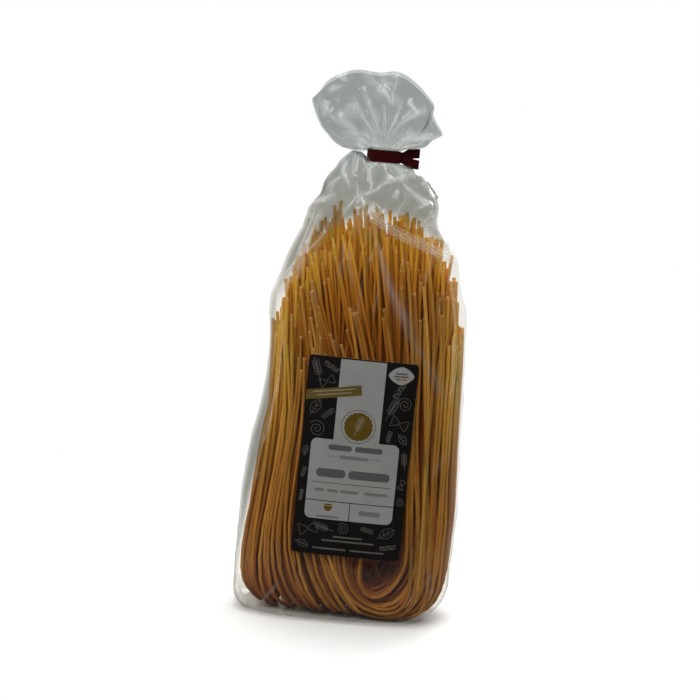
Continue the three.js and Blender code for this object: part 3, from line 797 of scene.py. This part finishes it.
def body_form(angles, around):
    """The filled bag's film, its white creases, partly painted highlight, and where it is drawn into
    tight lines.
    """
    rng = np.random.default_rng(BODY_SEED)
    body_around, height = np.meshgrid(around, BODY_HEIGHTS)
    plain = film_point(angles[None, :], height, 0)
    turn = body_around * math.pi / -around[0]
    loose = smoothstep(height, 186, 212)
    facets, creased = crumple(plain, rng, 5, (10, 24), 0.13)
    rise = 0.1 + lerp(0.12, 1, loose) * facets
    # White along the shoulder's creases, partly painted highlight.
    whitened_and_highlit = 0.5 * creased * loose
    gather = smoothstep(height, 190, 224) * (1 - smoothstep(height, 226.5, 229.2))
    pleats = 0.8 * np.sin(FINE_PLEATS * turn + 0.6 * np.sin(height / 6))
    rise += gather * (pleats + 0.7 * np.sin(7 * turn + height / 12))
    folds = []
    for start, end, width, high, white in BODY_FOLDS:
        placed = [(around_at(x, z, angles, around), z) for x, z in (start, end)]
        folds.append((*placed, width, high, white))
    for row in SCATTERED_FOLDS:
        folds += scattered_folds(rng, -around[0], *row)
    folded, white = fold_field(body_around, height, folds)
    beyond = np.maximum(np.abs(body_around - LABEL["x"]) - LABEL["width"] / 2,
                        np.abs(height - LABEL["z"]) - LABEL["height"] / 2)
    free = smoothstep(beyond, 1, 6)
    lift = lerp(UNDER_LABEL, rise + folded, free) * smoothstep(height, 0, 9)
    points = film_point(angles[None, :], height, lift)
    tight = tight_lines(angles, around, body_around, height)
    return points, np.maximum(whitened_and_highlit, white) * free, tight


def puffed(points):
    """The shoulder with its gathered film swelling up beside the left end of the clip."""
    x, z = points[..., 0], points[..., 2]
    swell = 5.2 * smoothstep(z, 224, 228.6) * smoothstep(-x, 5.6, 9.5)
    points[..., 2] = z + swell * (1 - smoothstep(-x, 12, 22))
    return points


def fan_form(angles, around):
    """The fan above the clip and its white creases, partly painted highlight.

    Its pleats are many and fine at the neck, and run out into few broad ones.
    """
    rng = np.random.default_rng(FAN_SEED)
    fan_around, t = np.meshgrid(around, np.linspace(0, 1, FAN_ROWS + 1)[1:])
    fan = head_point(angles[None, :], t)
    outward = unit(np.cross(np.roll(fan, -1, 1) - np.roll(fan, 1, 1), np.gradient(fan, axis=0)))
    turn = fan_around / around[0] / 2
    fine = np.abs((FINE_PLEATS * turn + 0.15 * np.sin(9 * t)) % 1 - 0.5)
    broad = np.abs((BROAD_PLEATS * turn + 0.22 * t + 0.12 * np.sin(7 * t)) % 1 - 0.5)
    rise = 2.2 * fine * smoothstep(t, 0, 0.12) * (1 - smoothstep(t, 0.25, 0.7))
    rise += 5 * (broad - 0.25) * smoothstep(t, 0.05, 0.7)
    facets, creased = crumple(fan, rng, 5, (9, 26), 0.1)
    rise += facets * smoothstep(t, 0.1, 0.5)
    folds = [((x0, t0 * HEAD_RISE), (x1, t1 * HEAD_RISE), *rest) for (x0, t0), (x1, t1), *rest in FAN_FOLDS]
    folds += scattered_folds(rng, -around[0], *SCATTERED_FAN_FOLDS)
    folded, whitened_and_highlit = fold_field(fan_around, t * HEAD_RISE, folds)
    # White on the fine pleats near the neck, partly painted highlight.
    near = 0.3 * (1 - smoothstep(t, 0.05, 0.5)) * smoothstep(np.abs(fine - 0.25), 0.1, 0.2)
    lift = (rise + folded) * lerp(0.35, 1, smoothstep(np.abs(np.sin(angles)), 0.05, 0.35))
    return fan + outward * lift[..., None], np.maximum(np.maximum(whitened_and_highlit, near), 0.25 * creased)


def film_haze(points):
    """Grey haze of the film, from 0 where it lies on the noodles to 1 where it stands free.

    Down the middle of the narrow sides the film lies close to the noodles, and is clearer.
    """
    x, y, z = points[..., 0], points[..., 1], points[..., 2]
    left, right, _ = profile_at(NEST_ROWS, np.minimum(z, 150))
    top = top_height(x)
    above = np.where(y < 0, smoothstep(z, top - 4, top + 3), smoothstep(z, top - 14, top + 2))
    above *= 1 - 0.85 * smoothstep(x, 28, 40) * smoothstep(CROWN_Z - z, 0, 18)
    beside = np.maximum(smoothstep(left - 1 - x, -2, 1.5), 0.05 * smoothstep(x - right - 1, -0.5, 2))
    beside *= lerp(0.65, 1, smoothstep(z, 12, 40))
    haze = np.maximum(above, beside)
    half_depth = section_at(np.minimum(z, 229))[2]
    close = (1 - smoothstep(np.abs(y) / half_depth, 0.15, 0.5)) * (1 - smoothstep(z, 196, 212))
    return haze * (1 - 0.8 * close)


def neck_rows(angles):
    """The gathered neck inside the clip."""
    round_, deep = signed_power(np.cos(angles), 0.87), signed_power(np.sin(angles), 0.87)
    x = lerp(NECK_LEFT, NECK_RIGHT, (1 + round_) / 2)
    y = -(NECK_HALF_DEPTH * deep + 0.3 * np.sin(NECK_PLEATS * angles))
    heights = np.linspace(NECK_BOTTOM, HEAD_BOTTOM, NECK_ROWS)
    return np.stack([np.stack([x, y, np.full_like(x, z)], -1) for z in heights])


def build_film():
    """The clear film: foot, filled body, creased shoulder, neck and open fan, as one sheet."""
    angles, around = film_columns()
    body, body_whitened_and_highlit, tight = body_form(angles, around)
    neck = neck_rows(angles)
    fan, fan_whitened_and_highlit = fan_form(angles, around)
    closing = np.arange(FOOT_CLOSING_ROWS, 0, -1) / FOOT_CLOSING_ROWS
    under = body[0] * np.stack([np.ones_like(closing), 1 - closing, np.ones_like(closing)], -1)[:, None]
    rows = np.concatenate([under, puffed(body), neck, fan])
    faces = tube_faces(np.arange(rows[..., 0].size).reshape(rows.shape[:2])).tolist()
    vertices = rows.reshape(-1, 3)
    piece = mesh_piece("film_bag", vertices, faces, [cast_polypropylene_film()], "bag")
    blank = [np.zeros(part.shape[:2]) for part in (under, neck, fan)]
    set_attribute(piece, "haze", film_haze(vertices))
    set_attribute(piece, "whitened_and_highlit", np.concatenate([blank[0], body_whitened_and_highlit, blank[1], fan_whitened_and_highlit]).ravel())
    set_attribute(piece, "tight", np.concatenate([blank[0], tight, blank[1], blank[2]]).ravel())


# ---- The label ----

PAPER_BACK, PAPER_FACE, INK_STEP = 0.35, 0.6, 0.04
INKS = {
    "paper_white": "#A1A29E",
    "ink_black": "#171412",
    "ink_gold": "#66501A",
    "ink_pale_gold": "#6A5A2B",
    "ink_cream": "#948B6E",
    "ink_line_grey": "#66625C",
    "ink_dark_grey": "#5F5F5D",
    "ink_mid_grey": "#7C7C79",
    "ink_green": "#5E7A3C",
    "ink_orange": "#A8642C",
}


def arc(u, v, ru, rv, start, end, steps=24):
    """Points along part of an oval, between two angles in degrees."""
    turns = np.radians(np.linspace(start, end, steps))
    return [(u + ru * math.cos(t), v + rv * math.sin(t)) for t in turns]


def rounded_box(u0, v0, u1, v1, radius):
    """Outline of a box with round corners."""
    corners = [(u1 - radius, v0 + radius, -90), (u1 - radius, v1 - radius, 0),
               (u0 + radius, v1 - radius, 90), (u0 + radius, v0 + radius, 180)]
    return [point for u, v, start in corners for point in arc(u, v, radius, radius, start, start + 90, 6)]


def scalloped_disc(u, v, radius, lobes, depth, steps=120):
    """Outline of a disc with a scalloped edge."""
    turns = [2 * math.pi * k / steps for k in range(steps)]
    reach = [radius + depth * abs(math.sin(lobes * turn / 2)) for turn in turns]
    return [(u + r * math.cos(turn), v + r * math.sin(turn)) for r, turn in zip(reach, turns)]


def dense(points, step=2.5):
    """The points of a line, with more between those that lie further apart than the step."""
    line = [points[0]]
    for (u0, v0), (u1, v1) in zip(points, points[1:]):
        pieces = max(math.ceil(math.hypot(u1 - u0, v1 - v0) / step), 1)
        line += [(lerp(u0, u1, k / pieces), lerp(v0, v1, k / pieces)) for k in range(1, pieces + 1)]
    return line


def stroke(points, width):
    """A drawn line of even width, as a strip: its points and its faces."""
    points = np.array(dense(points), float)
    along = unit(np.gradient(points, axis=0))
    side = np.stack([-along[:, 1], along[:, 0]], -1) * width / 2
    n = len(points)
    faces = [[i, i + 1, n + i + 1, n + i] for i in range(n - 1)]
    return np.concatenate([points - side, points + side]).tolist(), faces


def moved(points, u, v, size, turn):
    """Points of a motif scaled, turned by an angle in degrees and set in place."""
    c, s = math.cos(math.radians(turn)) * size, math.sin(math.radians(turn)) * size
    return [(u + c * x - s * y, v + s * x + c * y) for x, y in points]


def wheat_ear():
    """A wheat ear: a stalk with paired grains."""
    grain = arc(0, 0, 0.95, 0.42, 0, 360, 18)
    pairs = [moved(grain, side * 0.85, -0.9 + 1.15 * k, 1, 90 - side * 38)
             for k in range(5) for side in (-1, 1)]
    return [[(0, -5), (0, 4)], *pairs, moved(grain, 0, 4.9, 1, 90)]


def bow_tie():
    """A bow-tie noodle: two fanned wings with wavy ends and a pinch in the middle."""
    lines = [[(-0.5, -0.5), (-0.1, 0), (-0.5, 0.5)], [(0.5, -0.5), (0.1, 0), (0.5, 0.5)]]
    for side in (-1, 1):
        end = [(side * (3 + 0.25 * math.cos(9 * t)), 2 * t) for t in np.linspace(-1, 1, 21)]
        lines.append([(side * 0.3, -0.5)] + end + [(side * 0.3, 0.5)])
    return lines


def twist():
    """A spiral noodle: three crossing waves."""
    xs = np.linspace(-4, 4, 41)
    return [[(x, 1.1 * math.sin(1.9 * x + phase)) for x in xs] for phase in (0, 1.1, 3.14)]


def leaf():
    """A leaf with its middle rib and four side ribs."""
    edge = [(x, w * 1.7 * math.sin(math.pi * (x + 3) / 6) ** 0.8) for w in (1, -1) for x in
            (np.linspace(-3, 3, 18) if w > 0 else np.linspace(3, -3, 18))]
    ribs = [[(x, 0), (x + 0.9, side * 0.95)] for x in (-1.4, 0.2) for side in (-1, 1)]
    return [edge, [(-4, -0.2), (3, 0)]] + ribs


def tube_noodle():
    """A short tube noodle, cut slanting, with an open oval end."""
    return [[(-2.6, -0.9), (2.2, -0.9)], [(-1.8, 0.9), (3.0, 0.9)], arc(2.6, 0, 0.55, 1, 0, 360, 20),
            arc(-2.2, 0, 0.5, 0.95, 75, 285, 14), [(-2.3, 0.3), (2.1, 0.3)], [(-2.4, -0.3), (2.0, -0.3)]]


def curl():
    """A nest of noodle: a spiral line."""
    return [[(0.2 * t * math.cos(t), 0.2 * t * math.sin(t)) for t in np.linspace(1, 15, 70)]]


# Motifs on the black ground: what, across and up from the label's lower left, size and turn.
MOTIFS = [
    (wheat_ear, 4.8, 91.2, 1.15, 20), (twist, 11.4, 93.8, 1.0, -30), (bow_tie, 9.8, 86.6, 1.15, 25),
    (leaf, 5.4, 73.6, 1.35, 60), (tube_noodle, 11.6, 70.6, 1.15, 40), (curl, 7.0, 62.6, 1.4, 0),
    (twist, 45.6, 85.4, 1.15, 60), (curl, 48.8, 78.4, 1.25, 40), (wheat_ear, 42.4, 75.2, 1.2, -25),
    (bow_tie, 47.0, 69.0, 1.35, -20), (tube_noodle, 42.6, 61.8, 0.95, 80), (leaf, 49.4, 61.2, 1.0, -50),
    (leaf, 2.5, 51.5, 0.8, 80), (tube_noodle, 2.6, 40.5, 0.85, 75), (twist, 2.5, 29.0, 0.7, 85),
    (wheat_ear, 51.4, 50, 0.85, 8), (bow_tie, 51.2, 38.6, 0.75, 70), (curl, 51.2, 29.4, 0.75, 0),
    (bow_tie, 7.4, 12.6, 1.45, 15), (wheat_ear, 15.6, 13.6, 0.95, 75), (curl, 24.5, 13.8, 1.0, 0),
    (tube_noodle, 36.4, 14.4, 1.05, -15), (leaf, 46.4, 13.6, 1.4, 30), (twist, 47.6, 6.4, 1.0, 10),
    (leaf, 5.4, 4.8, 1.0, -20),
]
MOTIF_LINE = 0.24
SEAL = (27.2, 65.6)
PLAQUE = {"middle": (45.6, 92.6), "half_width": 6.3, "half_height": 4.5, "power": 1.35}


def label_prints():
    """Every print on the label as (points, faces or None for an outline, layer, ink)."""
    prints = []

    def fill(outline, layer, ink):
        prints.append((outline, None, layer, ink))

    def bars(layer, ink, *boxes):
        for u0, v0, u1, v1 in boxes:
            fill(rounded_box(u0, v0, u1, v1, 0.45 * (v1 - v0)), layer, ink)

    def lines(width, layer, ink, *paths):
        for points in paths:
            prints.append((*stroke(points, width), layer, ink))

    # The white strip and panel, and the motifs on the black ground.
    fill(rounded_box(15.6, 57, 38.1, 98.2, 0.4), 1, "paper_white")
    fill(rounded_box(4.9, 18, 48.3, 58.1, 3), 1, "paper_white")
    for motif, *place in MOTIFS:
        lines(MOTIF_LINE, 1, "ink_line_grey", *(moved(points, *place) for points in motif()))

    # The plaque, the ribbon and the seal.
    (u, v), power = PLAQUE["middle"], PLAQUE["power"]
    plaque = [(u + PLAQUE["half_width"] * signed_power(math.cos(t), power),
               v + PLAQUE["half_height"] * signed_power(math.sin(t), power))
              for t in np.linspace(0, 2 * math.pi, 60, endpoint=False)]
    fill(plaque, 2, "paper_white")
    bars(3, "ink_dark_grey", (42.6, 93.2, 48.6, 94.0), (42.0, 91.8, 49.2, 92.6))
    bars(3, "ink_green", (42.8, 90.4, 45.4, 91.2))
    bars(3, "ink_orange", (45.7, 90.4, 48.4, 91.2))
    fill([(0.15, 76.4), (27.4, 81.3), (26.6, 86.2), (0.15, 81.3)], 2, "ink_pale_gold")
    lines(0.65, 3, "ink_cream", [(3.4, 80.6), (24.0, 84.2)], [(5.4, 79.2), (22.6, 82.2)])
    for radius, layer, ink in ((8.15, 2, "ink_gold"), (7.85, 3, "paper_white"), (6.7, 4, "ink_gold")):
        fill(scalloped_disc(*SEAL, radius, lobes=18, depth=0.45), layer, ink)
    lines(0.3, 5, "ink_cream", *(moved(points, *SEAL, 0.95, -20) for points in wheat_ear()))

    # The panel's bars and rules, and the bars below it.
    bars(2, "ink_dark_grey", (13.6, 52.9, 25.2, 55.6), (26.6, 52.9, 40.2, 55.6))
    bars(2, "ink_mid_grey", (19.4, 48.9, 33.9, 50.6))
    lines(0.3, 2, "ink_mid_grey", [(13.7, 49.8), (18.2, 49.8)], [(35.2, 49.8), (39.9, 49.8)])
    bars(2, "ink_dark_grey", (8.8, 39.2, 23.2, 43.4), (24.6, 39.2, 45.0, 43.4))
    bars(2, "ink_mid_grey", (8.9, 31.9, 13.6, 33.3), (14.8, 31.9, 20.4, 33.3), (21.4, 31.9, 30.4, 33.3),
         (33.4, 31.9, 44.9, 33.3), (10.6, 18.9, 22.0, 19.9), (31.4, 21.4, 42.2, 23.8))
    lines(0.3, 2, "ink_gold", [(7.2, 36.4), (45.9, 36.4)])
    lines(0.35, 2, "ink_black", [(4.9, 27.2), (48.3, 27.2)], [(26.9, 18), (26.9, 27.1)])
    fill(arc(16.2, 24.8, 2.1, 2.6, 180, 360), 2, "ink_gold")
    bars(2, "ink_gold", (14.4, 25.2, 18.0, 25.9))
    for u0, u1, v in ((20, 34.5, 9.6), (14.5, 40.5, 7.5), (10.5, 27, 3.3), (29, 46, 3.3)):
        bars(1, "ink_line_grey", (u0, v - 0.4, u1, v + 0.4))
    return prints


def on_label(points, lift):
    """Places of the label, across and up from its lower left, laid on the front of the bag."""
    u, v = (np.array(points, float) - (LABEL["width"] / 2, LABEL["height"] / 2)).T
    c, s = math.cos(LABEL_LEAN), math.sin(LABEL_LEAN)
    x, z = LABEL["x"] + c * u - s * v, LABEL["z"] + s * u + c * v
    return film_point(angle_at(x, z), z, lift)


def filled(outline):
    """An outline filled with triangles small enough to follow the bag, facing forward."""
    edge = dense(outline + outline[:1])[:-1]
    u, v = np.array(edge).T
    inner = [(a, b) for a in np.arange(u.min() + 2, u.max() - 1, 2.5)
             for b in np.arange(v.min() + 3, v.max() - 2, 6)]
    ring = list(range(len(edge)))
    points, _, faces, *_ = delaunay_2d_cdt([Vector(p) for p in edge + inner], [], [ring], 1, 1e-5)
    area = sum(points[f[i - 1]].cross(points[f[i]]) for f in faces for i in range(3))
    return [tuple(p) for p in points], [list(f) if area > 0 else list(f)[::-1] for f in faces]


def build_label():
    """The paper label: a closed sheet that follows the bag, with its inks in thin layers on top."""
    names = list(INKS)
    materials = [printed_paper("label_" + name, code) for name, code in INKS.items()]
    vertices, faces, inks = [], [], []

    def lay(points, shapes, lift, ink):
        first = len(vertices)
        vertices.extend(on_label(points, lift).tolist())
        faces.extend([first + i for i in shape] for shape in shapes)
        inks.extend([names.index(ink)] * len(shapes))

    sheet = rounded_box(0, 0, LABEL["width"], LABEL["height"], LABEL["corner"])
    for lift in (PAPER_FACE, PAPER_BACK):
        points, shapes = filled(sheet)
        shapes = shapes if lift == PAPER_FACE else [shape[::-1] for shape in shapes]
        lay(points, shapes, lift, "ink_black")
    count = len(sheet)
    edge = [[i, i + count, (i + 1) % count + count, (i + 1) % count] for i in range(count)]
    lay(sheet + sheet, edge, np.repeat([PAPER_FACE, PAPER_BACK], count), "paper_white")
    for points, shapes, layer, ink in label_prints():
        if shapes is None:
            points, shapes = filled(points)
        lay(points, shapes, PAPER_FACE + layer * INK_STEP, ink)
    piece = mesh_piece("label_printed", vertices, faces, materials, "label", smooth=False)
    piece.data.polygons.foreach_set("material_index", inks)


CLIP_EDGE, CLIP_EDGE_STEPS, SHARPEST_SMOOTH = 0.25, 2, math.radians(40)


def finish_clip():
    """The clip keeps its solid form, with its edges softened."""
    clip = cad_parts["clip"]
    clip.data.materials.clear()
    clip.data.materials.append(drawn_clip_strip())
    soft = clip.modifiers.new("pressed_edges", "BEVEL")
    soft.width, soft.segments = CLIP_EDGE * MM, CLIP_EDGE_STEPS
    soft.limit_method, soft.angle_limit = "ANGLE", SHARPEST_SMOOTH


# ---- Camera, light and floor ----

VIEW = {"elevation": math.radians(8), "roll": math.radians(5), "distance": 700, "aim": (-6.04, 0, 134.9),
        "lens": 71.43, "sensor": 36}
# Lights: name, place and what they shine at, and size, in metres, and power in watts.
LIGHTS = [
    ("overhead", (0, 0.1, 1.1), (0, 0, 0.1), (0.7, 0.7), 9),
    ("front_high", (-0.3, -0.8, 0.95), (0, 0, 0.13), (0.8, 0.6), 7.3),
    ("rear", (0.5, 0.9, 0.7), (0, 0, 0.13), (0.5, 0.5), 5),
    ("left_strip", (-1.0, -0.3, 0.35), (0, 0, 0.14), (0.1, 0.8), 1),
    ("right_strip", (1.0, -0.2, 0.4), (0, 0, 0.14), (0.1, 0.8), 1),
]
# The floor's radius and where it starts and ends to fade, in metres, and the fineness of its mesh.
FLOOR = {"radius": 0.6, "fade_from": 0.07, "fade_to": 0.27, "rings": 24, "spokes": 96}


def build_camera():
    """The camera at the photograph's viewing angle, a little above the bag and turned a few degrees."""
    rise, roll = VIEW["elevation"], VIEW["roll"]
    forward = Vector((0, math.cos(rise), -math.sin(rise)))
    level_up = Vector((0, math.sin(rise), math.cos(rise)))
    level_right = Vector((1, 0, 0))
    right = math.cos(roll) * level_right + math.sin(roll) * level_up
    up = -math.sin(roll) * level_right + math.cos(roll) * level_up
    place = (Vector(VIEW["aim"]) - forward * VIEW["distance"]) * MM
    data = bpy.data.cameras.new("camera")
    data.lens, data.sensor_width = VIEW["lens"], VIEW["sensor"]
    camera = new_object("camera", data)
    camera.matrix_world = Matrix((right, up, -forward)).transposed().to_4x4()
    camera.location = place
    bpy.context.scene.camera = camera


def soft_light(name, place, aim, size, power):
    """A rectangular studio light."""
    data = bpy.data.lights.new(name, "AREA")
    data.shape = "RECTANGLE"
    data.size, data.size_y, data.energy = size[0], size[1], power
    light = new_object(name, data)
    light.location = place
    light.rotation_mode = "QUATERNION"
    light.rotation_quaternion = (Vector(aim) - Vector(place)).to_track_quat("-Z", "Y")


def build_floor():
    """A pale round floor that fades out into the white surroundings."""
    radii = np.linspace(0, 1, FLOOR["rings"] + 1)[1:] ** 1.5 * FLOOR["radius"]
    turn = 2 * np.pi * np.arange(FLOOR["spokes"]) / FLOOR["spokes"]
    points = [[0, 0, 0]] + [[r * math.cos(t), r * math.sin(t), 0] for r in radii for t in turn]
    grid = 1 + np.arange(len(points) - 1).reshape(len(radii), len(turn))
    middle = [[0, a, b] for a, b in zip(grid[0].tolist(), np.roll(grid[0], -1).tolist())]
    mesh = bpy.data.meshes.new("floor")
    mesh.from_pydata(points, [], middle + tube_faces(grid)[:, ::-1].tolist())
    material, tree = new_material("floor_pale_painted")
    place = add(tree, "TexCoord").outputs["Object"]
    distance = add(tree, "VectorMath", {0: place}, operation="LENGTH")
    fade = add(tree, "MapRange", {"Value": distance, "From Min": FLOOR["fade_from"],
                                  "From Max": FLOOR["fade_to"]}, interpolation_type="SMOOTHERSTEP")
    seen = add(tree, "LightPath").outputs["Is Camera Ray"]
    shade = add(tree, "Mix", {"Factor": seen, COLOUR_A: linear("#8A8A88"), COLOUR_B: linear("#F6F6F4")},
                data_type="RGBA")
    paint = add(tree, "BsdfDiffuse", {"Color": shade})
    open_ = add(tree, "BsdfTransparent")
    faded = add(tree, "MixShader", {"Fac": fade, 1: paint, 2: open_})
    add(tree, "OutputMaterial", {"Surface": faded})
    mesh.materials.append(material)
    new_object("floor", mesh)


def build_surroundings():
    """A white backdrop that also shines from behind, round a front that is almost dark."""
    world = bpy.data.worlds.new("white_studio")
    bpy.context.scene.world = world
    world.use_nodes = True
    tree = world.node_tree
    tree.nodes.clear()
    direction = add(tree, "TexCoord").outputs["Generated"]
    away = add(tree, "SeparateXYZ", {0: direction}).outputs["Y"]
    glow = add(tree, "MapRange", {"Value": away, "From Min": -0.25, "From Max": 0.75,
                                            "To Min": 0.06, "To Max": 0.85})
    seen = add(tree, "LightPath").outputs["Is Camera Ray"]
    dim = add(tree, "Background", {"Color": linear("#FFFFFF"), "Strength": glow})
    white = add(tree, "Background", {"Color": linear("#FFFFFF"), "Strength": 1.0})
    both = add(tree, "MixShader", {"Fac": seen, 1: dim, 2: white})
    add(tree, "OutputWorld", {"Surface": both})
    bpy.context.scene.view_settings.view_transform = "Standard"


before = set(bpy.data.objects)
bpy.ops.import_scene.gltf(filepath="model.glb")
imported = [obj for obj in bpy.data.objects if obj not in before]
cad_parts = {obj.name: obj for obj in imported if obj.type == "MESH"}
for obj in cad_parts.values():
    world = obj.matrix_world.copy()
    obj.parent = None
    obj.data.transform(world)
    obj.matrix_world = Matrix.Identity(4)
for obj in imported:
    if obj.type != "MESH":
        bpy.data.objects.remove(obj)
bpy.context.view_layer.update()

build_camera()
build_floor()
build_surroundings()
for light in LIGHTS:
    soft_light(*light)
build_noodles()
build_film()
build_label()
finish_clip()
